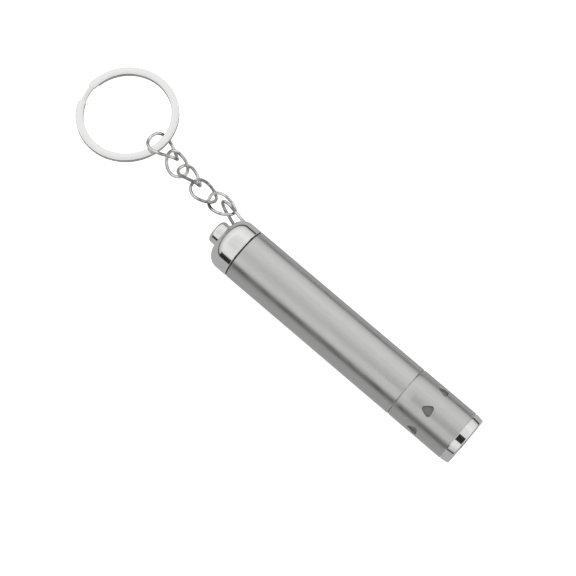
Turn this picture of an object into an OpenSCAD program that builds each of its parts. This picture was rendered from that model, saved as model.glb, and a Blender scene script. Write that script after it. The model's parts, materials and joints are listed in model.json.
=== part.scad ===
// Keychain flashlight: one AAA cell in a turned steel tube, a push-button tail cap,
// a head with six windows, and a curb chain with a split ring.
// The flashlight's axis is X: the lamp faces +X, the button faces -X, +Z is up.
// The origin is on that axis at the middle of the barrel, and the whole thing
// lies on a table at z = -barrel_d / 2 with the chain laid out behind it.

/* [Barrel] */
// Outer diameter of the barrel, tail cap and head
barrel_d = 13.4; // [13.4:0.1:13.8]
// Length of barrel that shows between tail cap and head
barrel_len = 50.4; // [50.2:0.1:51]
// Wall of the barrel
barrel_wall = 0.6; // [0.5:0.05:0.7]

/* [Head] */
// Length of the brushed head sleeve
head_len = 15.8; // [15.6:0.1:16.4]
// Number of windows round the head
window_count = 6; // [3:1:6]
// Length of a window along the axis
window_len = 2.55; // [2:0.05:3]
// Width of a window round the sleeve
window_w = 2.75; // [2.4:0.05:3.4]
// Length of the polished front bezel
bezel_len = 2.35; // [2.2:0.05:2.6]

/* [Tail] */
// Length of the polished tail cap that shows
cap_len = 6.4; // [6.35:0.05:6.8]
// Radius of the cap's rounded rear shoulder
cap_round = 3.5; // [2.5:0.1:3.5]
// Diameter of the push button
button_d = 5.9; // [5:0.1:6]
// How far the button stands out behind the cap
button_out = 2.45; // [2:0.05:3]
// Travel of the button
button_travel = 1.2; // [0.6:0.1:1.2]

/* [Chain and ring] */
// Wire of the chain links and of the bail
wire_d = 0.8; // [0.7:0.05:0.8]
// Outer length of a small chain link
link_len = 7.9; // [7.6:0.1:8]
// Outer width of a small chain link
link_w = 5.6; // [5.4:0.1:5.8]
// Outer length of the link on the split ring
ring_link_len = 9.3; // [9.1:0.1:9.5]
// Outer width of the link on the split ring
ring_link_w = 7.5; // [7.3:0.1:7.7]
// Twist of a link from one end to the other, in degrees
link_twist = -60; // [-70:1:-50]
// Outer diameter of the split ring
ring_d = 25.4; // [25:0.1:25.6]
// Width of the split ring's flat wire
ring_w = 1.9; // [1.8:0.05:1.95]
// Thickness of one turn of the split ring
ring_t = 0.55; // [0.5:0.05:0.6]

/* [Hidden] */
$fn = 64;
eps = 0.01;

// Radii of the shells
r_out = barrel_d / 2;
r_bore = r_out - barrel_wall;
r_head_bore = 6.0;
r_neck = 5.95;
r_neck_bore = 5.5;
edge = 0.15;
// Stations along the axis, from the tail to the front
x_tail = -barrel_len / 2;
x_head = barrel_len / 2;
gasket_t = 0.33;
x_cap = x_tail - gasket_t;
x_back = x_cap - cap_len;
x_wall = x_back + 2.6;
x_front = x_head + head_len;
x_tip = x_front + bezel_len;
neck_len = 4;
spigot_len = 4.6;
r_spigot = r_bore - 0.05;
r_cavity = 5.2;
thread_pitch = 1;
thread_depth = 0.2;

// A solid turned about the X axis: its children are outlines with the radius
// along their X and the position along the axis along their Y
module turned() {
    rotate([0, 90, 0])
        rotate_extrude()
            children();
}

// Outline of a plain tube between two stations
module tube_2d(x0, x1, ro, ri = 0) {
    translate([ri, x0])
        square([ro - ri, x1 - x0]);
}

// Outline of a conical band whose outer radius runs from r0 to r1
module band_2d(x0, x1, r0, r1, ri) {
    polygon([[ri, x0], [r0, x0], [r1, x1], [ri, x1]]);
}

// V-shaped grooves of a thread, one per turn, to cut from an outline
module thread_2d(x0, x1, r) {
    for (x = [x0 + thread_pitch / 2 : thread_pitch : x1 - thread_pitch / 4])
        polygon([
            [r + eps, x - thread_depth], [r + eps, x + thread_depth], [r - thread_depth, x]
        ]);
}

// A polygon with its edges moved out by r and its corners round
module rounded_polygon(points, r) {
    polygon(points);
    for (i = [0 : len(points) - 1]) {
        side = points[(i + 1) % len(points)] - points[i];
        translate(points[i]) {
            circle(r);
            rotate(atan2(side.y, side.x))
                translate([0, -r])
                    square([norm(side), 2 * r]);
        }
    }
}

// --- Barrel -----------------------------------------------------------------

module barrel_tube() {
    x_step = 22.5;
    color("gainsboro")
        turned() {
            difference() {
                tube_2d(x_tail, x_head - 2 * edge, r_out, r_bore);
                tube_2d(x_step, x_head, r_bore + eps, r_bore - eps);
            }
            band_2d(x_head - 2 * edge - eps, x_head, r_out, r_out - edge, r_bore - eps);
            tube_2d(x_step, x_head, r_bore + eps, r_neck_bore);
            difference() {
                tube_2d(x_head - eps, x_head + neck_len, r_neck, r_neck_bore);
                thread_2d(x_head, x_head + neck_len, r_neck);
            }
        }
}

cell_r = 5.25;
x_cell_back = -19;
cell_len = 43.7;
nub_len = 0.8;
wrap_t = 0.1;

module battery_cell() {
    color("silver")
        turned() {
            tube_2d(x_cell_back, x_cell_back + cell_len, cell_r - wrap_t);
            tube_2d(x_cell_back + cell_len - eps, x_cell_back + cell_len + nub_len, 1.9);
        }
}

module battery_wrap() {
    lip = 0.6;
    color("seagreen")
        turned()
            tube_2d(x_cell_back + lip, x_cell_back + cell_len - lip, cell_r, cell_r - wrap_t);
}

module insulating_sleeve() {
    color("dimgray")
        turned()
            tube_2d(-20.6, 22.4, r_bore - 0.05, cell_r + 0.15);
}

// --- Head -------------------------------------------------------------------

x_window = x_head + 6.8;
// One window faces this far round from +Z towards -Y, in degrees
window_turn = 18;
window_round = 0.7;
// Turn of each window in its own face
window_skew = 10;

module window_2d() {
    half = window_len / 2 - window_round;
    side = window_w / 2 - window_round;
    rotate(window_skew)
        rounded_polygon([[-half, 0], [half, -side], [half, side]], window_round);
}

module head_sleeve() {
    color("gainsboro")
        difference() {
            turned() {
                band_2d(x_head, x_head + 2 * edge, r_out - edge, r_out, r_head_bore);
                tube_2d(x_head + 2 * edge - eps, x_front, r_out, r_head_bore);
            }
            for (i = [0 : window_count - 1])
                rotate([window_turn + i * 360 / window_count, 0, 0])
                    translate([x_window, 0, r_head_bore - 1])
                        linear_extrude(3)
                            window_2d();
        }
}

module diffuser_tube() {
    color("darkgray")
        turned()
            tube_2d(x_head + neck_len + 0.2, 38.3, r_head_bore - 0.03, r_neck_bore);
}

// Stations of the lens stack
x_lens = x_front - 0.7;
lens_t = 1.2;
x_lip = 42.15;
r_lens = 5.35;
r_lens_seat = 5.4;
r_opening = 4.8;
bezel_round = 0.35;
bezel_taper = 0.25;
joint_gap = 0.15;

module front_bezel() {
    r_tip = r_out - bezel_taper;
    color("whitesmoke")
        turned() {
            difference() {
                tube_2d(38.5, x_front, r_head_bore - 0.03, r_lens_seat);
                thread_2d(38.5, x_front, r_head_bore - 0.03);
            }
            tube_2d(x_front - eps, x_front + joint_gap + eps, r_out - 0.3, r_lens_seat);
            band_2d(x_front + joint_gap, x_tip - bezel_round, r_out, r_tip, r_lens_seat);
            tube_2d(x_tip - bezel_round - eps, x_tip, r_tip - bezel_round, r_lens_seat);
            translate([r_tip - bezel_round, x_tip - bezel_round])
                circle(bezel_round);
            polygon([
                [r_opening, x_lip], [r_lens_seat + eps, x_lip],
                [r_lens_seat + eps, x_tip], [r_opening + 0.4, x_tip], [r_opening, x_tip - 0.4]
            ]);
        }
}

module lens() {
    color("lightcyan")
        turned()
            tube_2d(x_lens, x_lens + lens_t, r_lens);
}

module lens_o_ring() {
    r_section = (x_lip - x_lens - lens_t) / 2;
    color("black")
        turned()
            translate([r_lens - r_section - 0.05, x_lens + lens_t + r_section])
                circle(r_section);
}

module reflector() {
    shell = 0.45;
    r_small = 2.8;
    r_big = 4.8;
    x_small = 34.6;
    color("white")
        turned() {
            polygon([
                [r_small, x_small], [r_small + shell, x_small],
                [r_big + shell, x_lens - 0.6], [r_big, x_lens]
            ]);
            polygon([
                [r_big + shell - 0.3, x_lens - 0.6], [r_lens, x_lens - 0.6],
                [r_lens, x_lens], [r_big, x_lens]
            ]);
        }
}

x_led = 30.6;
led_r = 2.5;
led_barrel = 6.4;
lead_offset = 1.27;
lead_r = 0.25;
x_board = 26.6;
board_t = 0.8;

module led_lamp() {
    color("ghostwhite") {
        turned() {
            tube_2d(x_led, x_led + 1, 2.9);
            tube_2d(x_led + 1 - eps, x_led + led_barrel, led_r);
        }
        translate([x_led + led_barrel, 0, 0])
            sphere(led_r);
    }
}

module led_leads() {
    color("silver")
        for (side = [-1, 1])
            translate([x_board + board_t, 0, side * lead_offset])
                rotate([0, 90, 0])
                    cylinder(h = x_led - x_board - board_t, r = lead_r);
}

module lamp_carrier() {
    color("white")
        difference() {
            turned() {
                tube_2d(29.4, x_led, r_neck_bore - 0.05);
                tube_2d(x_led - eps, x_led + 0.8, r_neck_bore - 0.05, 3);
            }
            for (side = [-1, 1])
                translate([29, 0, side * lead_offset])
                    rotate([0, 90, 0])
                        cylinder(h = 2, r = lead_r + 0.1);
        }
}

module driver_board() {
    color("darkgreen")
        turned()
            tube_2d(x_board, x_board + board_t, r_neck_bore - 0.05);
}

module driver_inductor() {
    color("dimgray")
        translate([x_board + board_t, 3.1, 0])
            rotate([0, 90, 0])
                cylinder(h = 1.8, r = 1.6);
}

module driver_chip() {
    color("black")
        translate([x_board + board_t, -3.4, -1.45])
            cube([1.1, 1.6, 2.9]);
}

module driver_capacitors() {
    color("tan")
        for (side = [-1, 1])
            translate([x_board + board_t, -0.6, side * 3.4 - 0.6])
                cube([0.8, 2, 1.2]);
}

module positive_contact() {
    color("gold")
        turned() {
            tube_2d(25.6, x_board, 1.6);
            tube_2d(x_board - 0.3, x_board, 2.4);
        }
}

// --- Tail cap and switch ----------------------------------------------------

// The bail is a hairpin of wire: two legs that lean together, then bend to a tight tip.
// Where its middle leaves the cap: distance from the axis and height
bail_at = [4.95, -0.7];
// Direction of the bail outwards from the cap: turn from -X towards +Y
bail_lean = 14.3;
// Roll of the bail's plane about that direction
bail_roll = 38;
bail_half = 1.35;
bail_taper = 4.5;
bail_straight = 5.4;
bail_root = 1.0;
// Heading of the wire where the tip starts, and the tip's radius
bail_bend = 25;
bail_tip = 0.42;
// Station on the shoulder from which the bail is measured
x_bail = x_back + 1.45;

module bail_frame() {
    translate([x_bail, bail_at.x, bail_at.y])
        rotate([0, 0, -bail_lean])
            rotate([bail_roll, 0, 0])
                children();
}

module bail_leg(grow = 0) {
    translate([0, bail_half, 0])
        rotate([0, 0, bail_taper])
            translate([bail_root, 0, 0])
                rotate([0, -90, 0])
                    cylinder(h = bail_root + bail_straight, r = wire_d / 2 + grow);
}

module tail_cap() {
    r_face = r_out - cap_round;
    r_hole = button_d / 2 + 0.1;
    color("whitesmoke")
        difference() {
            turned() {
                difference() {
                    union() {
                        tube_2d(x_back + cap_round - eps, x_cap, r_out, r_cavity);
                        intersection() {
                            translate([r_face, x_back + cap_round])
                                circle(cap_round);
                            tube_2d(x_back, x_back + cap_round, r_out);
                        }
                        tube_2d(x_back, x_back + cap_round, r_face + eps);
                        tube_2d(x_cap - eps, x_cap + spigot_len, r_spigot, r_cavity);
                    }
                    tube_2d(x_wall, x_cap + spigot_len + 1, r_cavity);
                    tube_2d(x_back - 1, x_wall + 1, r_hole);
                    thread_2d(x_cap + gasket_t + 0.5, x_cap + spigot_len, r_spigot);
                }
            }
            bail_frame()
                for (side = [0, 1])
                    mirror([0, side, 0])
                        bail_leg(0.01);
        }
}

// End of a leg, radius of the bend that follows it, and centre of the tip
bail_leg_end = [
    bail_straight * cos(bail_taper),
    bail_half - bail_straight * sin(bail_taper)
];
bail_bend_r = (bail_leg_end.y - bail_tip * cos(bail_bend)) / (cos(bail_taper) - cos(bail_bend));
bail_tip_at = bail_leg_end.x + bail_bend_r * (sin(bail_bend) - sin(bail_taper))
    - bail_tip * sin(bail_bend);
bend_steps = 5;
tip_steps = 6;
// Facets round a bent wire
wire_sides = 8;

// Centre line of half the bail, from the root of a leg to the middle of the tip
bail_half_path = [
    for (d = [-bail_root, bail_straight])
        [-d * cos(bail_taper), bail_half - d * sin(bail_taper)],
    for (i = [1 : bend_steps])
        let (h = bail_taper + (bail_bend - bail_taper) * i / bend_steps)
        [
            -bail_leg_end.x - bail_bend_r * (sin(h) - sin(bail_taper)),
            bail_leg_end.y - bail_bend_r * (cos(bail_taper) - cos(h))
        ],
    for (i = [1 : tip_steps])
        let (h = bail_bend + (90 - bail_bend) * i / tip_steps)
        [-bail_tip_at - bail_tip * sin(h), bail_tip * cos(h)]
];

function unit(v) = v / norm(v);

// A wire with square ends, swept along a path in the XY plane
module flat_wire(path) {
    last = len(path) - 1;
    points = [
        for (i = [0 : last])
            let (along = unit(path[min(i + 1, last)] - path[max(i - 1, 0)]))
            for (j = [0 : wire_sides - 1])
                let (b = j * 360 / wire_sides, out = wire_d / 2 * cos(b))
                [path[i].x + out * along.y, path[i].y - out * along.x, wire_d / 2 * sin(b)]
    ];
    faces = [
        [for (j = [wire_sides - 1 : -1 : 0]) j],
        for (i = [0 : last - 1], j = [0 : wire_sides - 1])
            let (
                j2 = (j + 1) % wire_sides,
                p = i * wire_sides + j,
                q = i * wire_sides + j2
            )
            each [[p, q, q + wire_sides], [p, q + wire_sides, p + wire_sides]],
        [for (j = [0 : wire_sides - 1]) last * wire_sides + j]
    ];
    polyhedron(points, faces);
}

module wire_bail() {
    far_half = [
        for (i = [len(bail_half_path) - 2 : -1 : 0])
            [bail_half_path[i].x, -bail_half_path[i].y]
    ];
    color("silver")
        bail_frame()
            flat_wire(concat(bail_half_path, far_half));
}

module cap_gasket() {
    color("black")
        turned()
            tube_2d(x_cap + eps, x_tail - eps, r_out - 0.2, r_spigot + 0.02);
}

// Stations of the switch
x_housing = x_wall + 2.2;
housing_len = 4.5;
housing_floor = 0.8;
x_floor = x_housing + housing_len - housing_floor;
r_switch_bore = 3.4;
flange_t = 0.6;
x_flange = x_wall + 0.05;
x_collar = x_housing + 0.1;
collar_t = 0.6;

module push_button() {
    round_edge = 0.9;
    r = button_d / 2;
    x_rear = x_back - button_out;
    color("whitesmoke")
        turned() {
            tube_2d(x_rear, x_rear + round_edge + eps, r - round_edge);
            intersection() {
                translate([r - round_edge, x_rear + round_edge])
                    circle(round_edge);
                tube_2d(x_rear, x_rear + round_edge + eps, r);
            }
            tube_2d(x_rear + round_edge, x_flange + eps, r);
            tube_2d(x_flange, x_flange + flange_t, r + 0.9);
        }
}

module switch_plunger() {
    color("white")
        turned() {
            tube_2d(x_flange + flange_t, x_collar + eps, 1.9);
            tube_2d(x_collar, x_collar + collar_t, r_switch_bore - 0.1);
        }
}

module plunger_contact() {
    color("gold")
        turned()
            tube_2d(x_collar + collar_t, x_collar + collar_t + 1, 1.3);
}

module return_spring() {
    color("silver")
        coil(x_collar + collar_t, x_floor, 2.5, 2.5, 0.3, 4);
}

module switch_housing() {
    color("darkslategray")
        turned() {
            tube_2d(x_housing, x_floor + eps, r_cavity - 0.05, r_switch_bore);
            tube_2d(x_floor, x_floor + housing_floor, r_cavity - 0.05, 0.9);
        }
}

module ground_ring() {
    color("gold")
        turned()
            tube_2d(x_housing - 0.25, x_housing, r_cavity - 0.05, 3.6);
}

module contact_rivet() {
    head_t = x_floor - x_collar - collar_t - 1 - button_travel - 0.05;
    color("gold")
        turned() {
            tube_2d(x_floor - head_t, x_floor, 1.5);
            tube_2d(x_floor - eps, x_floor + housing_floor + 0.3, 0.88);
            tube_2d(x_floor + housing_floor, x_floor + housing_floor + 0.3, 1.6);
        }
}

module switch_retainer() {
    color("silver")
        turned()
            tube_2d(x_floor + housing_floor, x_floor + housing_floor + 0.7, r_cavity - 0.02, 3.7);
}

module battery_spring() {
    color("silver")
        coil(x_floor + housing_floor + 0.3, x_cell_back, 1.9, 4, 0.45, 3);
}

// A coil spring along the axis: radius r0 at x0 to r1 at x1, wire diameter d.
// Each turn is a ring, and a short sloping strut joins it to the next one.
module coil(x0, x1, r0, r1, d, turns) {
    step = (x1 - x0 - d) / (turns - 1);
    grow = (r1 - r0) / (turns - 1);
    for (i = [0 : turns - 1]) {
        translate([x0 + d / 2 + i * step, 0, 0])
            rotate([0, 90, 0])
                rotate_extrude()
                    translate([r0 + i * grow, 0])
                        circle(d / 2, $fn = 24);
        if (i < turns - 1)
            translate([x0 + d / 2 + i * step, 0, r0 + i * grow])
                rotate([0, 90 - atan2(grow, step), 0])
                    cylinder(h = norm([step, grow]), r = d / 2 - 0.02, $fn = 24);
    }
}

// --- Chain and split ring ---------------------------------------------------

// Each link's centre, then its yaw, pitch and roll in degrees
link_pose = [
    [[-37.7, 6.2, -1.3], [4, -4, -6]],
    [[-43.2, 5.8, -1.6], [-1, -3, -8]],
    [[-48.6, 7.1, -2.8], [-12, -16, -39]],
    [[-53.3, 7.3, -3.6], [-20, -5, 25]],
    [[-58.2, 8.4, -3.3], [0, 3, -38]],
];
// Squareness of a link's oval: 1 is an ellipse
link_oval = 0.87;
link_rings = 48;

function oval(t) = sign(t) * pow(abs(t), link_oval);

// A point of a twisted link's centre line, at the angle a round the link
function link_point(a, half_l, half_w) =
    let (
        x = half_l * oval(cos(a)),
        w = half_w * oval(sin(a)),
        turn = link_twist / 2 * x / half_l
    )
    [x, w * cos(turn), w * sin(turn)];

// A closed wire swept along the link's centre line
module twisted_link(length, width) {
    half_l = (length - wire_d) / 2;
    half_w = (width - wire_d) / 2;
    step = 360 / link_rings;
    points = [
        for (i = [0 : link_rings - 1])
            let (
                a = (i + 0.5) * step,
                p = link_point(a, half_l, half_w),
                along = unit(link_point(a + 1, half_l, half_w) - link_point(a - 1, half_l, half_w)),
                out = unit(cross(along, [0, 0, 1])),
                up = cross(out, along)
            )
            for (j = [0 : wire_sides - 1])
                let (b = j * 360 / wire_sides)
                p + wire_d / 2 * (out * cos(b) + up * sin(b))
    ];
    faces = [
        for (i = [0 : link_rings - 1], j = [0 : wire_sides - 1])
            let (
                i2 = (i + 1) % link_rings,
                j2 = (j + 1) % wire_sides,
                p = i * wire_sides + j,
                q = i * wire_sides + j2,
                r = i2 * wire_sides + j2,
                s = i2 * wire_sides + j
            )
            each [[p, q, r], [p, r, s]]
    ];
    polyhedron(points, faces);
}

module placed_link(i, length, width) {
    color("silver")
        translate(link_pose[i][0])
            rotate([0, 0, link_pose[i][1].x])
                rotate([0, link_pose[i][1].y, 0])
                    rotate([link_pose[i][1].z, 0, 0])
                        twisted_link(length, width);
}

module chain_link_1() {
    placed_link(0, link_len, link_w);
}

module chain_link_2() {
    placed_link(1, link_len, link_w);
}

module chain_link_3() {
    placed_link(2, link_len, link_w);
}

module chain_link_4() {
    placed_link(3, link_len, link_w);
}

module ring_link() {
    placed_link(4, ring_link_len, ring_link_w);
}

// The split ring rests on the table at its far side and rises towards the chain
ring_tilt = 7;
ring_roll = 1;
ring_at = [-70.96, 9.34, -4.59];
// Where the wire crosses from one turn to the other, from +X towards +Y
ring_jog = 192;
jog_angle = 24;
// The crossing strand is this much thinner, and set in from both edges by half of it
jog_slim = 0.2;
// It is also set in this much from the outer edge
jog_inset = 0.35;
// The lower turn stops this far short of the crossing, in degrees
lower_short = 8;
turn_gap = 0.03;

module ring_turn(short = 0) {
    rotate([0, 0, jog_angle / 2])
        rotate_extrude(angle = 360 - jog_angle - short)
            translate([ring_d / 2 - ring_w, turn_gap])
                square([ring_w, ring_t - turn_gap]);
}

module ring_crossing() {
    r_mid = ring_d / 2 - ring_w / 2;
    slope = atan2(ring_t, r_mid * jog_angle * PI / 180);
    lap = 3;
    t = ring_t - jog_slim / 2;
    rotate([-slope, 0, 0])
        rotate([0, 0, -jog_angle / 2 - lap])
            rotate_extrude(angle = jog_angle + 2 * lap)
                translate([ring_d / 2 - ring_w + jog_slim, -t / 2])
                    square([ring_w - 2 * jog_slim - jog_inset, t]);
}

module split_ring() {
    color("silver")
        translate(ring_at)
            rotate([ring_roll, -ring_tilt, 0])
                rotate([0, 0, ring_jog]) {
                    ring_turn();
                    mirror([0, 0, 1])
                        ring_turn(lower_short);
                    ring_crossing();
                }
}

barrel_tube();
head_sleeve();
front_bezel();
lens();
lens_o_ring();
reflector();
led_lamp();
led_leads();
lamp_carrier();
diffuser_tube();
driver_board();
driver_inductor();
driver_chip();
driver_capacitors();
positive_contact();
battery_cell();
battery_wrap();
insulating_sleeve();
cap_gasket();
tail_cap();
wire_bail();
switch_housing();
ground_ring();
contact_rivet();
switch_retainer();
battery_spring();
return_spring();
push_button();
switch_plunger();
plunger_contact();
chain_link_1();
chain_link_2();
chain_link_3();
chain_link_4();
ring_link();
split_ring();
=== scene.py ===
"""Keychain flashlight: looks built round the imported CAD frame. Metres, row frame."""

import json
import math

import bmesh
import bpy
from mathutils import Matrix, Vector
from mathutils.geometry import delaunay_2d_cdt


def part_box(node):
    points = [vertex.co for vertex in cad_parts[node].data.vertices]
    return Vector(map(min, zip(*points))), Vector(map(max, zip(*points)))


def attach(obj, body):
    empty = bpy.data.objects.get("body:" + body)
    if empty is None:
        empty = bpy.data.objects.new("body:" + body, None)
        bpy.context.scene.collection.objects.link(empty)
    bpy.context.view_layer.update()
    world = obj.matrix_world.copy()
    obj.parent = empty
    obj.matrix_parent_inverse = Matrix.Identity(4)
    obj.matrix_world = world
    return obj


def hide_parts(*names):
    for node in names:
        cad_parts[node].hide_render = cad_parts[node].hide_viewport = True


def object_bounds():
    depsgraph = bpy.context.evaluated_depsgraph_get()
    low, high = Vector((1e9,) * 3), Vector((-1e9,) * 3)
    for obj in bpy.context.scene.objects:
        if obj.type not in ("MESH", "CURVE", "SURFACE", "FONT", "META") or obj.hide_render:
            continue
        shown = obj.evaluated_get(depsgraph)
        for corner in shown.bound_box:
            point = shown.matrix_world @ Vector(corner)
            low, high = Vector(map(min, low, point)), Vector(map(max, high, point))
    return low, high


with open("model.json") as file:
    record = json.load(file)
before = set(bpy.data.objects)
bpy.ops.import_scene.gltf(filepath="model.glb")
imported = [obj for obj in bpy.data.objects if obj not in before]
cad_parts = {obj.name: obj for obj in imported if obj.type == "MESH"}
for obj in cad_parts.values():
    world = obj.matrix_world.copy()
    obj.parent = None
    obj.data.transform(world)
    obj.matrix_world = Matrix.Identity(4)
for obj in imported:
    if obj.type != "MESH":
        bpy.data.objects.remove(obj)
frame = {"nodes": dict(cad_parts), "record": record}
CAD_BOX = [list(c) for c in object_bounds()]

MM = 0.001
scene = bpy.context.scene

# ---------------------------------------------------------------- camera
CAM_AT = Vector((52.03, -135.4, 450.03)) * MM
CAM_FORWARD = Vector((-0.13511, 0.28671, -0.94844)).normalized()
CAM_UP = Vector((-0.64097, 0.70466, 0.30432)).normalized()
LENS = 125.0


def make_camera():
    data = bpy.data.cameras.new("photo_camera")
    data.lens = LENS
    data.sensor_width = 36.0
    data.clip_start = 0.01
    data.clip_end = 50.0
    obj = bpy.data.objects.new("photo_camera", data)
    scene.collection.objects.link(obj)
    right = CAM_FORWARD.cross(CAM_UP).normalized()
    up = right.cross(CAM_FORWARD).normalized()
    rot = Matrix((right, up, -CAM_FORWARD)).transposed()
    obj.matrix_world = Matrix.Translation(CAM_AT) @ rot.to_4x4()
    scene.camera = obj


# ---------------------------------------------------------------- node helpers
def new_material(name):
    mat = bpy.data.materials.new(name)
    mat.use_nodes = True
    tree = mat.node_tree
    tree.nodes.clear()
    out = tree.nodes.new("ShaderNodeOutputMaterial")
    bsdf = tree.nodes.new("ShaderNodeBsdfPrincipled")
    tree.links.new(bsdf.outputs["BSDF"], out.inputs["Surface"])
    return mat, tree, bsdf


def node(tree, kind, inputs=None, **props):
    n = tree.nodes.new(kind)
    for k, v in props.items():
        setattr(n, k, v)
    for k, v in (inputs or {}).items():
        if isinstance(v, bpy.types.NodeSocket):
            tree.links.new(v, n.inputs[k])
        else:
            n.inputs[k].default_value = v
    return n


def coords(tree, scale=(1, 1, 1), rot=(0, 0, 0)):
    tc = node(tree, "ShaderNodeTexCoord")
    mp = node(tree, "ShaderNodeMapping", {"Vector": tc.outputs["Object"], "Scale": scale, "Rotation": rot})
    return mp.outputs["Vector"]


def noise(tree, vec, scale, detail=2.0, rough=0.5):
    return node(tree, "ShaderNodeTexNoise",
                {"Vector": vec, "Scale": scale, "Detail": detail, "Roughness": rough}).outputs["Fac"]


def remap(tree, fac, lo, hi, a=0.0, b=1.0):
    return node(tree, "ShaderNodeMapRange",
                {"Value": fac, "From Min": a, "From Max": b, "To Min": lo, "To Max": hi}).outputs["Result"]


def mix_rgb(tree, fac, a, b):
    m = node(tree, "ShaderNodeMix", data_type="RGBA")
    for idx, v in ((0, fac), (6, a), (7, b)):
        if isinstance(v, bpy.types.NodeSocket):
            tree.links.new(v, m.inputs[idx])
        else:
            m.inputs[idx].default_value = v
    return m.outputs[2]


def math_node(tree, op, a, b=0.0):
    m = node(tree, "ShaderNodeMath", operation=op)
    for idx, v in ((0, a), (1, b)):
        if isinstance(v, bpy.types.NodeSocket):
            tree.links.new(v, m.inputs[idx])
        else:
            m.inputs[idx].default_value = v
    return m.outputs[0]


def bump(tree, height, strength, distance):
    return node(tree, "ShaderNodeBump",
                {"Height": height, "Strength": strength, "Distance": distance}).outputs["Normal"]


def grey(v):
    return (v, v, v * 0.99, 1.0)


# ---------------------------------------------------------------- materials
def round_coords(tree, along, around):
    """Vector (x * along, angle about X * around, 0), with its seam underneath."""
    tc = node(tree, "ShaderNodeTexCoord")
    sep = node(tree, "ShaderNodeSeparateXYZ", {"Vector": tc.outputs["Object"]})
    turned = math_node(tree, "ARCTAN2", sep.outputs["Y"], sep.outputs["Z"])
    return node(tree, "ShaderNodeCombineXYZ", {
        "X": math_node(tree, "MULTIPLY", sep.outputs["X"], along),
        "Y": math_node(tree, "MULTIPLY", turned, around)}).outputs["Vector"]


def brushed_steel(name, tone, contrast, rough):
    """Steel brushed along X: long fine streaks, broad soft bands and a few scuffs."""
    mat, tree, bsdf = new_material(name)
    fine = noise(tree, round_coords(tree, 350, 60), 1.0, 3.0, 0.7)
    bands = noise(tree, round_coords(tree, 18, 9), 1.0, 2.0, 0.5)
    cloud = noise(tree, coords(tree, (120, 400, 400)), 1.0, 3.0, 0.6)
    streak = math_node(tree, "ADD", math_node(tree, "MULTIPLY", fine, 0.65),
                       math_node(tree, "MULTIPLY", bands, 0.35))
    fac = remap(tree, streak, 0.0, 1.0, 0.3, 0.7)
    colour = mix_rgb(tree, fac, grey(tone - contrast), grey(tone + contrast))
    tree.links.new(colour, bsdf.inputs["Base Color"])
    tree.links.new(remap(tree, cloud, rough - 0.05, rough + 0.07, 0.3, 0.7), bsdf.inputs["Roughness"])
    tree.links.new(bump(tree, fine, 0.12, 0.00001), bsdf.inputs["Normal"])
    bsdf.inputs["Metallic"].default_value = 1.0
    return mat


def polished(name, tone, rough, smudge=0.05, scale=500.0):
    """Plated metal with faint smudges and hairlines."""
    mat, tree, bsdf = new_material(name)
    cloud = noise(tree, coords(tree), scale, 4.0, 0.6)
    hair = noise(tree, coords(tree, (300, 6000, 6000), (0.2, 0.1, 0.4)), 1.0, 2.0, 0.6)
    colour = mix_rgb(tree, remap(tree, cloud, 0.0, 1.0, 0.35, 0.65), grey(tone - smudge), grey(tone))
    tree.links.new(colour, bsdf.inputs["Base Color"])
    tree.links.new(remap(tree, cloud, rough, rough + 0.06, 0.4, 0.75), bsdf.inputs["Roughness"])
    tree.links.new(bump(tree, hair, 0.06, 0.00001), bsdf.inputs["Normal"])
    bsdf.inputs["Metallic"].default_value = 1.0
    return mat


def bent_wire(name):
    """Bright bent wire: painted reflections as dark and light stretches, drawing marks and a slightly uneven
    surface.
    """
    mat, tree, bsdf = new_material(name)
    patches = noise(tree, coords(tree), 420.0, 1.0, 0.4)
    fine = noise(tree, coords(tree), 2500.0, 2.0, 0.5)
    # painted reflections: noise patches switch the base colour between dark and bright, standing in for
    # reflected highlights and dark bands
    tone = remap(tree, patches, 0.0, 1.0, 0.40, 0.58)
    painted_reflection = mix_rgb(tree, tone, grey(0.22), grey(0.86))
    colour = mix_rgb(tree, remap(tree, fine, 0.0, 0.35, 0.35, 0.7), painted_reflection, grey(0.60))
    tree.links.new(colour, bsdf.inputs["Base Color"])
    tree.links.new(remap(tree, fine, 0.06, 0.16, 0.3, 0.7), bsdf.inputs["Roughness"])
    tree.links.new(bump(tree, patches, 0.5, 0.0001), bsdf.inputs["Normal"])
    bsdf.inputs["Metallic"].default_value = 1.0
    return mat


def flat_wire(name):
    """Plated flat wire: bright faces, with painted shade on its narrow walls and in the gap."""
    mat, tree, bsdf = new_material(name)
    tc = node(tree, "ShaderNodeTexCoord")
    sep = node(tree, "ShaderNodeSeparateXYZ", {"Vector": tc.outputs["Normal"]})
    flat = math_node(tree, "ABSOLUTE", sep.outputs["Z"])
    cloud = noise(tree, coords(tree), 700.0, 3.0, 0.5)
    # painted shade: faces whose normals turn sideways (the narrow walls) are coloured dark, the flat faces
    # bright
    face = mix_rgb(tree, cloud, grey(0.86), grey(0.91))
    painted_shade_wall = mix_rgb(tree, cloud, grey(0.22), grey(0.36))
    colour = mix_rgb(tree, remap(tree, flat, 0.0, 1.0, 0.45, 0.85), painted_shade_wall, face)
    tree.links.new(colour, bsdf.inputs["Base Color"])
    tree.links.new(remap(tree, cloud, 0.12, 0.2, 0.3, 0.7), bsdf.inputs["Roughness"])
    tree.links.new(bump(tree, cloud, 0.05, 0.00001), bsdf.inputs["Normal"])
    bsdf.inputs["Metallic"].default_value = 1.0
    return mat


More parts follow.
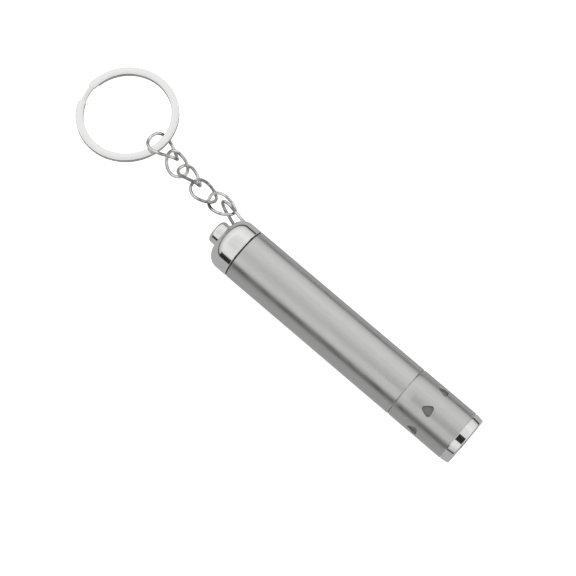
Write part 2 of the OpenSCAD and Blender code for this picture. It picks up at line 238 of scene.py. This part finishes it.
def plain(name, colour, rough, grain=0.05, scale=900.0, height=0.00002, metallic=0.0, **sockets):
    """Moulded, coated or drawn material with a fine grain."""
    mat, tree, bsdf = new_material(name)
    n = noise(tree, coords(tree), scale, 3.0, 0.6)
    lo = tuple(max(0.0, c * (1 - grain)) for c in colour) + (1.0,)
    hi = tuple(min(1.0, c * (1 + grain)) for c in colour) + (1.0,)
    tree.links.new(mix_rgb(tree, n, lo, hi), bsdf.inputs["Base Color"])
    tree.links.new(remap(tree, n, max(0.02, rough - 0.06), rough + 0.06), bsdf.inputs["Roughness"])
    tree.links.new(bump(tree, n, 0.2, height), bsdf.inputs["Normal"])
    bsdf.inputs["Metallic"].default_value = metallic
    for k, v in sockets.items():
        bsdf.inputs[k.replace("_", " ")].default_value = v
    return mat


MATS = {
    "brushed_steel_barrel": brushed_steel("steel_barrel", 0.62, 0.05, 0.30),
    "brushed_steel_head": brushed_steel("steel_head", 0.60, 0.05, 0.30),
    "polished_chrome": polished("chrome_cap", 0.86, 0.05),
    "chain_wire": bent_wire("wire_plated_painted_reflections"),
    "ring_wire": flat_wire("ring_plated_painted_shade"),
    "black_rubber": plain("rubber_black", (0.015, 0.015, 0.016), 0.6),
    "clear_lens": plain("lens_glass", (0.97, 0.98, 0.98), 0.06, 0.01, height=0.000002,
                        Transmission_Weight=1.0, IOR=1.5),
    "reflector_mirror": polished("reflector_plated", 0.90, 0.05, 0.03),
    "led_epoxy": plain("lamp_epoxy", (0.90, 0.88, 0.74), 0.12, 0.03, Transmission_Weight=0.4),
    "white_plastic": plain("plastic_white", (0.80, 0.80, 0.78), 0.45),
    "smoky_plastic": plain("plastic_smoky", (0.24, 0.24, 0.25), 0.25),
    "board_green": plain("board_mask", (0.02, 0.16, 0.06), 0.35, 0.15),
    "ferrite": plain("coil_ferrite", (0.08, 0.08, 0.085), 0.7, 0.2),
    "black_plastic": plain("plastic_black", (0.025, 0.025, 0.028), 0.45),
    "capacitor_tan": plain("capacitor_body", (0.42, 0.30, 0.19), 0.5),
    "brass_contact": plain("brass_contact", (0.78, 0.58, 0.26), 0.25, metallic=1.0),
    "cell_can": plain("cell_steel", (0.66, 0.66, 0.65), 0.3, metallic=1.0),
    "cell_film": plain("cell_film", (0.05, 0.28, 0.15), 0.3, 0.1, 300.0),
    "grey_liner": plain("liner_grey", (0.22, 0.22, 0.23), 0.6),
    "spring_steel": plain("spring_wire", (0.62, 0.62, 0.61), 0.28, metallic=1.0),
}


def dress_frame():
    """Gives each carried-over CAD node its record slot's material."""
    slots = {s["node"]: s["material_slot"] for s in frame["record"]["subparts"]}
    for name, obj in frame["nodes"].items():
        mat = MATS[slots[name]]
        if not obj.material_slots:
            obj.data.materials.append(mat)
        for s in obj.material_slots:
            s.material = mat


# ---------------------------------------------------------------- mesh helpers
def finish_mesh(name, bm, slot, body, replaces=(), sharp=35.0):
    bmesh.ops.remove_doubles(bm, verts=bm.verts, dist=1e-8)
    bmesh.ops.recalc_face_normals(bm, faces=bm.faces)
    mesh = bpy.data.meshes.new(name)
    bm.to_mesh(mesh)
    bm.free()
    mesh.polygons.foreach_set("use_smooth", [True] * len(mesh.polygons))
    mesh.set_sharp_from_angle(angle=math.radians(sharp))
    mesh.materials.append(MATS[slot])
    obj = bpy.data.objects.new(name, mesh)
    scene.collection.objects.link(obj)
    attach(obj, body)
    if replaces:
        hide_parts(*replaces)
    return obj


def lathe(profile, segments=192):
    """Closed outline of (x, r) in mm turned about X."""
    bm = bmesh.new()
    rings = []
    for i in range(segments):
        a = 2 * math.pi * i / segments
        rings.append([bm.verts.new((x * MM, r * math.cos(a) * MM, r * math.sin(a) * MM)) for x, r in profile])
    n = len(profile)
    for i in range(segments):
        p, q = rings[i], rings[(i + 1) % segments]
        for j in range(n):
            k = (j + 1) % n
            if profile[j][1] < 1e-9 and profile[k][1] < 1e-9:
                continue
            bm.faces.new((p[j], p[k], q[k], q[j]))
    return bm


def arc(cx, cr, radius, a0, a1, steps):
    """Points (x, r) on an arc; angle 0 points along +X, 90 along +r."""
    out = []
    for i in range(steps + 1):
        a = math.radians(a0 + (a1 - a0) * i / steps)
        out.append((cx + radius * math.cos(a), cr + radius * math.sin(a)))
    return out


def sweep(points, section, closed, ups):
    """Section (list of (u, v)) carried along points; ups are the section's v directions."""
    bm = bmesh.new()
    n = len(points)
    rings = []
    for i, p in enumerate(points):
        if closed:
            t = points[(i + 1) % n] - points[i - 1]
        else:
            t = points[min(i + 1, n - 1)] - points[max(i - 1, 0)]
        t.normalize()
        up = ups[i]
        side = t.cross(up).normalized()
        up = side.cross(t).normalized()
        sec = section(i) if callable(section) else section
        rings.append([bm.verts.new((p + side * u + up * v) * MM) for u, v in sec])
    m = len(rings[0])
    last = n if closed else n - 1
    for i in range(last):
        a, b = rings[i], rings[(i + 1) % n]
        for j in range(m):
            k = (j + 1) % m
            bm.faces.new((a[j], a[k], b[k], b[j]))
    if not closed:
        bm.faces.new(rings[0][::-1])
        bm.faces.new(rings[-1])
    return bm


def round_section(radius, sides=20):
    return [(radius * math.cos(2 * math.pi * i / sides), radius * math.sin(2 * math.pi * i / sides))
            for i in range(sides)]


# ---------------------------------------------------------------- sizes from the frame
def box_mm(name):
    lo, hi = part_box(name)
    return Vector(lo) / MM, Vector(hi) / MM


BARREL = box_mm("barrel_tube")
HEAD = box_mm("head_sleeve")
BEZEL = box_mm("front_bezel")
CAP = box_mm("tail_cap")
BUTTON = box_mm("push_button")
R_OUT = BARREL[1].z
X_TAIL = BARREL[0].x
X_HEAD = HEAD[0].x
X_FRONT = HEAD[1].x
X_TIP = BEZEL[1].x
X_BACK = CAP[0].x
X_CAP = X_TAIL - 0.33
R_BORE = R_OUT - 0.6
SLIT = 0.16  # dark line between barrel and head

# Sizes that the boxes don't tell, in mm
NECK_R, NECK_BORE, NECK_FROM = 5.95, 5.5, 22.5
SPIGOT_R, SPIGOT_BORE = 6.05, 5.2
CAP_ROUND, CAP_WALL, CAP_HOLE, HOLE_EDGE = 3.5, 2.6, 3.05, 0.12
BUTTON_R, BUTTON_EDGE, FLANGE_R, FLANGE_T = 2.95, 0.9, 3.85, 0.6
BEZEL_FIT_R, BEZEL_BORE, BEZEL_MOUTH, BEZEL_LIP_FROM = 5.97, 5.4, 4.8, 42.15
BEZEL_SLIT, BEZEL_SLIT_DEPTH, BEZEL_EDGE = 0.15, 0.3, 0.35
TURNED = 256  # facets round a large turned piece

make_camera()
dress_frame()


# ---------------------------------------------------------------- shells
def barrel():
    neck = BARREL[1].x
    prof = [(X_TAIL, R_BORE), (X_TAIL, R_OUT - 0.08), (X_TAIL + 0.08, R_OUT)]
    prof += [(X_TAIL + (X_HEAD - X_TAIL) * t, R_OUT) for t in (0.25, 0.5, 0.75)]
    prof += [(X_HEAD - 0.3, R_OUT), (X_HEAD - SLIT, R_OUT - 0.1), (X_HEAD - SLIT, NECK_R),
             (neck, NECK_R), (neck, NECK_BORE), (NECK_FROM, NECK_BORE), (NECK_FROM, R_BORE)]
    finish_mesh("barrel_shell", lathe(prof, TURNED), "brushed_steel_barrel", "flashlight", ["barrel_tube"])


def tail_cap():
    prof = [(X_BACK, CAP_HOLE + HOLE_EDGE)]
    prof += arc(X_BACK + CAP_ROUND, R_OUT - CAP_ROUND, CAP_ROUND, 180, 90, 28)
    prof += [(X_CAP - 0.1, R_OUT), (X_CAP, R_OUT - 0.1), (X_CAP, SPIGOT_R), (CAP[1].x, SPIGOT_R),
             (CAP[1].x, SPIGOT_BORE), (X_BACK + CAP_WALL, SPIGOT_BORE),
             (X_BACK + CAP_WALL, CAP_HOLE), (X_BACK + HOLE_EDGE, CAP_HOLE)]
    finish_mesh("cap_shell", lathe(prof, TURNED), "polished_chrome", "tail_assembly", ["tail_cap"])


def button():
    x0, x1 = BUTTON[0].x, BUTTON[1].x
    flange = x1 - FLANGE_T
    prof = [(x0, 0.0)] + arc(x0 + BUTTON_EDGE, BUTTON_R - BUTTON_EDGE, BUTTON_EDGE, 180, 90, 16)
    prof += [(flange, BUTTON_R), (flange, FLANGE_R), (x1, FLANGE_R), (x1, 0.0)]
    finish_mesh("button_cap", lathe(prof, 160), "polished_chrome", "button", ["push_button"])


def bezel():
    r_tip = R_OUT - 0.25
    r_slit = R_OUT - BEZEL_SLIT_DEPTH
    prof = [(BEZEL[0].x, BEZEL_BORE), (BEZEL[0].x, BEZEL_FIT_R), (X_FRONT, BEZEL_FIT_R),
            (X_FRONT, r_slit), (X_FRONT + BEZEL_SLIT, r_slit),
            (X_FRONT + BEZEL_SLIT, R_OUT - 0.04), (X_FRONT + 0.19, R_OUT)]
    prof += arc(X_TIP - BEZEL_EDGE, r_tip - BEZEL_EDGE, BEZEL_EDGE, 84, 0, 10)
    prof += [(X_TIP, BEZEL_MOUTH + 0.4), (X_TIP - 0.4, BEZEL_MOUTH),
             (BEZEL_LIP_FROM, BEZEL_MOUTH), (BEZEL_LIP_FROM, BEZEL_BORE)]
    finish_mesh("bezel_ring", lathe(prof, TURNED), "polished_chrome", "flashlight", ["front_bezel"])


# ---------------------------------------------------------------- head with windows
X_WINDOW = X_HEAD + 6.8
WINDOWS = 6
WINDOW_TURN = 18.0
WINDOW_SKEW = math.radians(-10.0)
WINDOW_L, WINDOW_W, WINDOW_R = 2.55, 2.75, 0.7
WINDOW_CHAMFER = 0.07
CORNER_STEPS, EDGE_STEP = 9, 0.25
WINDOW_CLEAR = 0.35  # no grid points closer to a window than this
HEAD_BORE, HEAD_EDGE = 6.0, 0.15
SECTOR_COLS = 36  # grid columns to each window's sector


def window_outline(grow):
    """Rounded triangle with its blunt point towards the tail, as (x, s) in mm."""
    half, side = WINDOW_L / 2 - WINDOW_R, WINDOW_W / 2 - WINDOW_R
    pts = [Vector((-half, 0)), Vector((half, -side)), Vector((half, side))]
    pts = [Matrix.Rotation(WINDOW_SKEW, 2) @ p for p in pts]
    out = []
    for i, p in enumerate(pts):
        a = (p - pts[i - 1]).normalized()
        b = (pts[(i + 1) % 3] - p).normalized()
        n0, n1 = math.atan2(-a.x, a.y), math.atan2(-b.x, b.y)
        while n1 < n0:
            n1 += 2 * math.pi
        for k in range(CORNER_STEPS + 1):
            t = n0 + (n1 - n0) * k / CORNER_STEPS
            r = WINDOW_R + grow
            out.append(p + Vector((math.cos(t), math.sin(t))) * r)
    dense = []
    for i, p in enumerate(out):
        q = out[(i + 1) % len(out)]
        steps = max(1, int((q - p).length / EDGE_STEP))
        dense += [p.lerp(q, k / steps) for k in range(steps)]
    return dense


def head():
    """The head's wall, meshed flat in one sector for each window and bent round the axis."""
    bm = bmesh.new()
    sector = 2 * math.pi / WINDOWS
    width = sector * R_OUT
    cols = SECTOR_COLS
    xs = [X_HEAD + 2 * HEAD_EDGE, X_HEAD + 2.5, X_HEAD + 4.5]
    xs += [X_WINDOW - 2.0 + 0.5 * i for i in range(9)]
    xs += [X_FRONT - 3.0, X_FRONT - 0.12]

    def put(x, ang, r):
        return bm.verts.new((x * MM, -math.sin(ang) * r * MM, math.cos(ang) * r * MM))

    for w in range(WINDOWS):
        mid = math.radians(WINDOW_TURN) + w * sector
        for r, grow, flip in ((R_OUT, WINDOW_CHAMFER, False), (HEAD_BORE, 0.0, True)):
            hole = [Vector((X_WINDOW + p.x, p.y)) for p in window_outline(grow)]
            rim = [Vector((xs[0], -sector / 2 * R_OUT + width * j / cols)) for j in range(cols)]
            rim += [Vector((x, sector / 2 * R_OUT)) for x in xs]
            rim += [Vector((xs[-1], sector / 2 * R_OUT - width * j / cols)) for j in range(1, cols)]
            rim += [Vector((x, -sector / 2 * R_OUT)) for x in reversed(xs[1:])]
            base = len(rim)
            edges = [(i, (i + 1) % base) for i in range(base)]
            edges += [(base + i, base + (i + 1) % len(hole)) for i in range(len(hole))]
            pts = rim + hole
            for x in xs[1:-1]:
                for j in range(1, cols):
                    s = -sector / 2 * R_OUT + width * j / cols
                    if (abs(x - X_WINDOW) < WINDOW_L / 2 + WINDOW_CLEAR
                            and abs(s) < WINDOW_W / 2 + WINDOW_CLEAR):
                        continue
                    pts.append(Vector((x, s)))
            verts, _, faces, _, _, _ = delaunay_2d_cdt(pts, edges, [], 0, 1e-6)
            made = [put(v.x, mid + v.y / R_OUT, r) for v in verts]
            for f in faces:
                if not inside(sum((verts[i] for i in f), Vector((0, 0))) / len(f), hole):
                    bm.faces.new([made[i] for i in (reversed(f) if flip else f)])
        rings = []
        for grow, r in ((WINDOW_CHAMFER, R_OUT), (0.0, R_OUT - WINDOW_CHAMFER), (0.0, HEAD_BORE)):
            rings.append([put(X_WINDOW + p.x, mid + p.y / R_OUT, r) for p in window_outline(grow)])
        for a, b in zip(rings, rings[1:]):
            for i in range(len(a)):
                k = (i + 1) % len(a)
                bm.faces.new((a[i], a[k], b[k], b[i]))
    total = cols * WINDOWS
    for x0, r0, x1, r1 in ((X_HEAD, R_OUT - HEAD_EDGE, xs[0], R_OUT),
                           (X_HEAD, HEAD_BORE, X_HEAD, R_OUT - HEAD_EDGE),
                           (X_HEAD, HEAD_BORE, xs[0], HEAD_BORE),
                           (xs[-1], R_OUT, X_FRONT, R_OUT - 0.1),
                           (X_FRONT, R_OUT - 0.1, X_FRONT, HEAD_BORE),
                           (X_FRONT, HEAD_BORE, xs[-1], HEAD_BORE)):
        for i in range(total):
            a0 = math.radians(WINDOW_TURN) - sector / 2 + 2 * math.pi * i / total
            a1 = a0 + 2 * math.pi / total
            bm.faces.new((put(x0, a0, r0), put(x0, a1, r0), put(x1, a1, r1), put(x1, a0, r1)))
    bmesh.ops.remove_doubles(bm, verts=bm.verts, dist=2e-6)
    finish_mesh("head_shell", bm, "brushed_steel_head", "flashlight", ["head_sleeve"], 30.0)


def inside(p, poly):
    """Whether point p is in the closed outline poly."""
    hit = False
    for i, a in enumerate(poly):
        b = poly[(i + 1) % len(poly)]
        if (a.y > p.y) != (b.y > p.y) and p.x < (b.x - a.x) * (p.y - a.y) / (b.y - a.y) + a.x:
            hit = not hit
    return hit


# ---------------------------------------------------------------- chain
WIRE = 0.8
TWIST = -60.0
OVAL = 0.87
SEAM_FROM_END = 14.0
SEAM_SLIM, NEAR_SEAM_SLIM = 0.86, 0.97
LINKS = [
    ("chain_link_1", "link_1", (-37.7, 6.2, -1.3), (4, -4, -6), 7.9, 5.6),
    ("chain_link_2", "link_2", (-43.2, 5.8, -1.6), (-1, -3, -8), 7.9, 5.6),
    ("chain_link_3", "link_3", (-48.6, 7.1, -2.8), (-12, -16, -39), 7.9, 5.6),
    ("chain_link_4", "link_4", (-53.3, 7.3, -3.6), (-20, -5, 25), 7.9, 5.6),
    ("ring_link", "link_5", (-58.2, 8.4, -3.3), (0, 3, -38), 9.3, 7.5),
]


def turn(yaw, pitch, roll):
    return (Matrix.Rotation(math.radians(yaw), 3, "Z") @ Matrix.Rotation(math.radians(pitch), 3, "Y")
            @ Matrix.Rotation(math.radians(roll), 3, "X"))


def signed_pow(v):
    return math.copysign(abs(v) ** OVAL, v)


def link(name, body, at, angles, length, width):
    a, b = (length - WIRE) / 2, (width - WIRE) / 2
    rot = turn(*angles)
    steps = 160
    seam = 180.0 - SEAM_FROM_END
    pts, ups = [], []
    for i in range(steps):
        t = math.radians(seam) + 2 * math.pi * i / steps
        x, w = a * signed_pow(math.cos(t)), b * signed_pow(math.sin(t))
        f = math.radians(TWIST / 2) * x / a
        pts.append(rot @ Vector((x, w * math.cos(f), w * math.sin(f))) + Vector(at))
        ups.append(rot @ Vector((0, -math.sin(f), math.cos(f))))

    def section(i):
        r = WIRE / 2
        if i == 0:
            r *= SEAM_SLIM
        elif i in (1, steps - 1):
            r *= NEAR_SEAM_SLIM
        return round_section(r)

    finish_mesh("wire_" + name, sweep(pts, section, True, ups), "chain_wire", body, [name], 50.0)


BAIL_AT = Vector((-30.48, 4.95, -0.7))
BAIL_LEAN, BAIL_ROLL = 14.3, 38.0
BAIL_HALF, BAIL_TAPER, BAIL_STRAIGHT, BAIL_ROOT = 1.35, math.radians(4.5), 5.4, 1.0
BAIL_BEND, BAIL_TIP = math.radians(25.0), 0.42


def bail():
    """A hairpin: legs that lean together, a slow bend and a tight tip."""
    ca, sa, cb, sb = math.cos(BAIL_TAPER), math.sin(BAIL_TAPER), math.cos(BAIL_BEND), math.sin(BAIL_BEND)
    leg_x, leg_y = BAIL_STRAIGHT * ca, BAIL_HALF - BAIL_STRAIGHT * sa
    bend = (leg_y - BAIL_TIP * cb) / (ca - cb)
    tip_x = leg_x + bend * (sb - sa) - BAIL_TIP * sb
    half = []
    for i in range(25):
        d = -BAIL_ROOT + (BAIL_ROOT + BAIL_STRAIGHT) * i / 24
        half.append((d * ca, BAIL_HALF - d * sa))
    for i in range(1, 15):
        h = BAIL_TAPER + (BAIL_BEND - BAIL_TAPER) * i / 14
        half.append((leg_x + bend * (math.sin(h) - sa), leg_y - bend * (ca - math.cos(h))))
    for i in range(1, 11):
        h = BAIL_BEND + (math.pi / 2 - BAIL_BEND) * i / 10
        half.append((tip_x + BAIL_TIP * math.sin(h), BAIL_TIP * math.cos(h)))
    line = half + [(x, -y) for x, y in reversed(half[:-1])]
    rot = turn(-BAIL_LEAN, 0, BAIL_ROLL)
    pts = [rot @ Vector((-x, y, 0)) + BAIL_AT for x, y in line]
    ups = [rot @ Vector((0, 0, 1))] * len(pts)
    finish_mesh("wire_of_bail", sweep(pts, round_section(WIRE / 2), False, ups), "chain_wire",
                "tail_assembly", ["wire_bail"], 50.0)


# ---------------------------------------------------------------- split ring
RING_AT = Vector((-70.96, 9.34, -4.59))
RING_TILT, RING_ROLL = 7.0, 1.0
RING_D, RING_W, RING_T, RING_GAP = 25.4, 1.9, 0.55, 0.03
JOG_AT, JOG_ANGLE, LOWER_SHORT = 192.0, 24.0, 8.0
JOG_SLIM, JOG_INSET = 0.2, 0.35
JOG_EASE = 0.12  # share of the strand in which it narrows


def flat_section(width, height, edge=0.12, steps=3):
    """Rectangle with rounded corners, centred."""
    out = []
    for cx, cy, a0 in ((1, 1, 0), (-1, 1, 90), (-1, -1, 180), (1, -1, 270)):
        for i in range(steps + 1):
            a = math.radians(a0 + 90 * i / steps)
            out.append((cx * (width / 2 - edge) + edge * math.cos(a),
                        cy * (height / 2 - edge) + edge * math.sin(a)))
    return out


def split_ring():
    """Two flat turns; between their square ends a slimmer strand steps down from one to the other."""
    rot = turn(0, -RING_TILT, RING_ROLL)
    r = RING_D / 2 - RING_W / 2
    t = RING_T - RING_GAP
    z_top = RING_GAP + t / 2
    first = JOG_AT + JOG_ANGLE / 2
    stops = [0.0, 360.0 - JOG_ANGLE, 360.0, 720.0 - JOG_ANGLE - LOWER_SHORT]
    pts, ups, sizes = [], [], []
    for leg in range(3):
        steps = 60 if leg == 1 else 300
        for i in range(steps + (leg == 2)):
            done = stops[leg] + (stops[leg + 1] - stops[leg]) * i / steps
            f = min(1.0, max(0.0, (done - stops[1]) / JOG_ANGLE))
            drop = f * f * (3 - 2 * f)
            slim = min(1.0, min(f, 1 - f) / JOG_EASE)
            a = math.radians(first + done)
            rad = r - JOG_INSET / 2 * slim
            pts.append(rot @ Vector((rad * math.cos(a), rad * math.sin(a), z_top * (1 - 2 * drop))) + RING_AT)
            ups.append(rot @ Vector((0, 0, 1)))
            sizes.append((RING_W - (2 * JOG_SLIM + JOG_INSET) * slim, t))
    finish_mesh("key_ring", sweep(pts, lambda i: flat_section(*sizes[i]), False, ups), "ring_wire", "ring",
                ["split_ring"], 50.0)


barrel()
tail_cap()
button()
bezel()
head()
for row in LINKS:
    link(*row)
bail()
split_ring()


# ---------------------------------------------------------------- studio
# What the metal sees: a small bright table whose edge is dark, in a light tent
TABLE_AT = (-0.02, -0.02, 0.0)
TABLE_SCALE = (5.0, 8.5, 0.0)
TABLE_GLOW = 0.47


def floor():
    bm = bmesh.new()
    z = CAD_BOX[0][2] - 0.00005
    size = 4.0
    for x, y in ((-size, -size), (size, -size), (size, size), (-size, size)):
        bm.verts.new((x, y, z))
    bm.faces.new(bm.verts)
    mesh = bpy.data.meshes.new("floor")
    bm.to_mesh(mesh)
    bm.free()
    obj = bpy.data.objects.new("floor", mesh)
    scene.collection.objects.link(obj)
    mat = bpy.data.materials.new("floor_white")
    mat.use_nodes = True
    tree = mat.node_tree
    tree.nodes.clear()
    out = tree.nodes.new("ShaderNodeOutputMaterial")
    lp = tree.nodes.new("ShaderNodeLightPath")
    seen = node(tree, "ShaderNodeEmission", {"Color": (1, 1, 1, 1), "Strength": 0.8})
    sheet = node(tree, "ShaderNodeBsdfDiffuse", {"Color": (0.85, 0.85, 0.85, 1)})
    both = tree.nodes.new("ShaderNodeAddShader")
    tree.links.new(seen.outputs[0], both.inputs[0])
    tree.links.new(sheet.outputs[0], both.inputs[1])
    tc = node(tree, "ShaderNodeTexCoord")
    away = node(tree, "ShaderNodeVectorMath", {0: tc.outputs["Object"], 1: TABLE_AT}, operation="SUBTRACT")
    shape = node(tree, "ShaderNodeVectorMath", {0: away.outputs[0], 1: TABLE_SCALE}, operation="MULTIPLY")
    dist = node(tree, "ShaderNodeVectorMath", {0: shape.outputs[0]}, operation="LENGTH").outputs["Value"]
    glow = remap(tree, dist, TABLE_GLOW, 0.03, 0.9, 1.25)
    lit = node(tree, "ShaderNodeEmission", {"Color": (1, 1, 1, 1), "Strength": glow})
    mixer = tree.nodes.new("ShaderNodeMixShader")
    tree.links.new(lp.outputs["Is Camera Ray"], mixer.inputs[0])
    tree.links.new(lit.outputs[0], mixer.inputs[1])
    tree.links.new(both.outputs[0], mixer.inputs[2])
    tree.links.new(mixer.outputs[0], out.inputs["Surface"])
    mesh.materials.append(mat)


def ramp(tree, fac, stops):
    r = tree.nodes.new("ShaderNodeValToRGB")
    r.color_ramp.interpolation = "EASE"
    els = r.color_ramp.elements
    while len(els) > 1:
        els.remove(els[-1])
    els[0].position = stops[0][0]
    els[0].color = grey(stops[0][1])
    for pos, v in stops[1:]:
        e = els.new(pos)
        e.color = grey(v)
    tree.links.new(fac, r.inputs["Fac"])
    return r.outputs["Color"]


def band(tree, value, lo0, lo1, hi1, hi0):
    """1 between lo1 and hi1, falling to 0 at lo0 and hi0."""
    up = node(tree, "ShaderNodeMapRange", {"Value": value, "From Min": lo0, "From Max": lo1})
    down = node(tree, "ShaderNodeMapRange", {"Value": value, "From Min": hi1, "From Max": hi0,
                                             "To Min": 1.0, "To Max": 0.0})
    up.interpolation_type = down.interpolation_type = "SMOOTHSTEP"
    return math_node(tree, "MULTIPLY", up.outputs[0], down.outputs[0])


def patch(tree, first, second, third):
    """1 where all three bands are; each is (value, lo0, lo1, hi1, hi0)."""
    return math_node(tree, "MULTIPLY", band(tree, *first),
                     math_node(tree, "MULTIPLY", band(tree, *second), band(tree, *third)))


def sky():
    """A light tent, with a dark object in front at table height and one overhead."""
    world = bpy.data.worlds.new("studio")
    scene.world = world
    world.use_nodes = True
    tree = world.node_tree
    tree.nodes.clear()
    out = tree.nodes.new("ShaderNodeOutputWorld")
    bg = tree.nodes.new("ShaderNodeBackground")
    tc = tree.nodes.new("ShaderNodeTexCoord")
    sep = node(tree, "ShaderNodeSeparateXYZ", {"Vector": tc.outputs["Generated"]})
    x, y, z = sep.outputs["X"], sep.outputs["Y"], sep.outputs["Z"]
    up = math_node(tree, "MULTIPLY_ADD", z, 0.5)
    up.node.inputs[2].default_value = 0.5
    front = ramp(tree, up, [(0.0, 0.30), (0.47, 0.04), (0.51, 0.05), (0.535, 0.50), (0.66, 0.70),
                            (0.75, 0.86), (0.88, 0.86), (0.96, 0.78), (1.0, 0.80)])
    back = ramp(tree, up, [(0.0, 0.30), (0.47, 0.04), (0.515, 0.05), (0.54, 0.62), (0.70, 0.84),
                           (0.90, 0.95), (0.97, 0.84), (1.0, 0.80)])
    light = mix_rgb(tree, remap(tree, y, 0.0, 1.0, -0.25, 0.25), front, back)
    card = patch(tree, (x, -0.42, -0.30, 0.08, 0.16), (z, -0.3, -0.2, 0.27, 0.36),
                 (y, -2, -1.5, -0.6, -0.4))
    rig = patch(tree, (x, 0.0, 0.06, 0.36, 0.42), (y, -0.60, -0.54, -0.12, -0.06),
                (z, 0.0, 0.1, 2, 3))
    dark = math_node(tree, "MAXIMUM", card, rig)
    tree.links.new(mix_rgb(tree, dark, light, grey(0.03)), bg.inputs["Color"])
    bg.inputs["Strength"].default_value = 1.0
    seen = node(tree, "ShaderNodeBackground", {"Color": (0.93, 0.93, 0.93, 1), "Strength": 1.0})
    lp = tree.nodes.new("ShaderNodeLightPath")
    mixer = tree.nodes.new("ShaderNodeMixShader")
    tree.links.new(lp.outputs["Is Camera Ray"], mixer.inputs[0])
    tree.links.new(bg.outputs[0], mixer.inputs[1])
    tree.links.new(seen.outputs[0], mixer.inputs[2])
    tree.links.new(mixer.outputs[0], out.inputs["Surface"])


floor()
sky()
scene.view_settings.view_transform = "Standard"
scene.view_settings.look = "None"
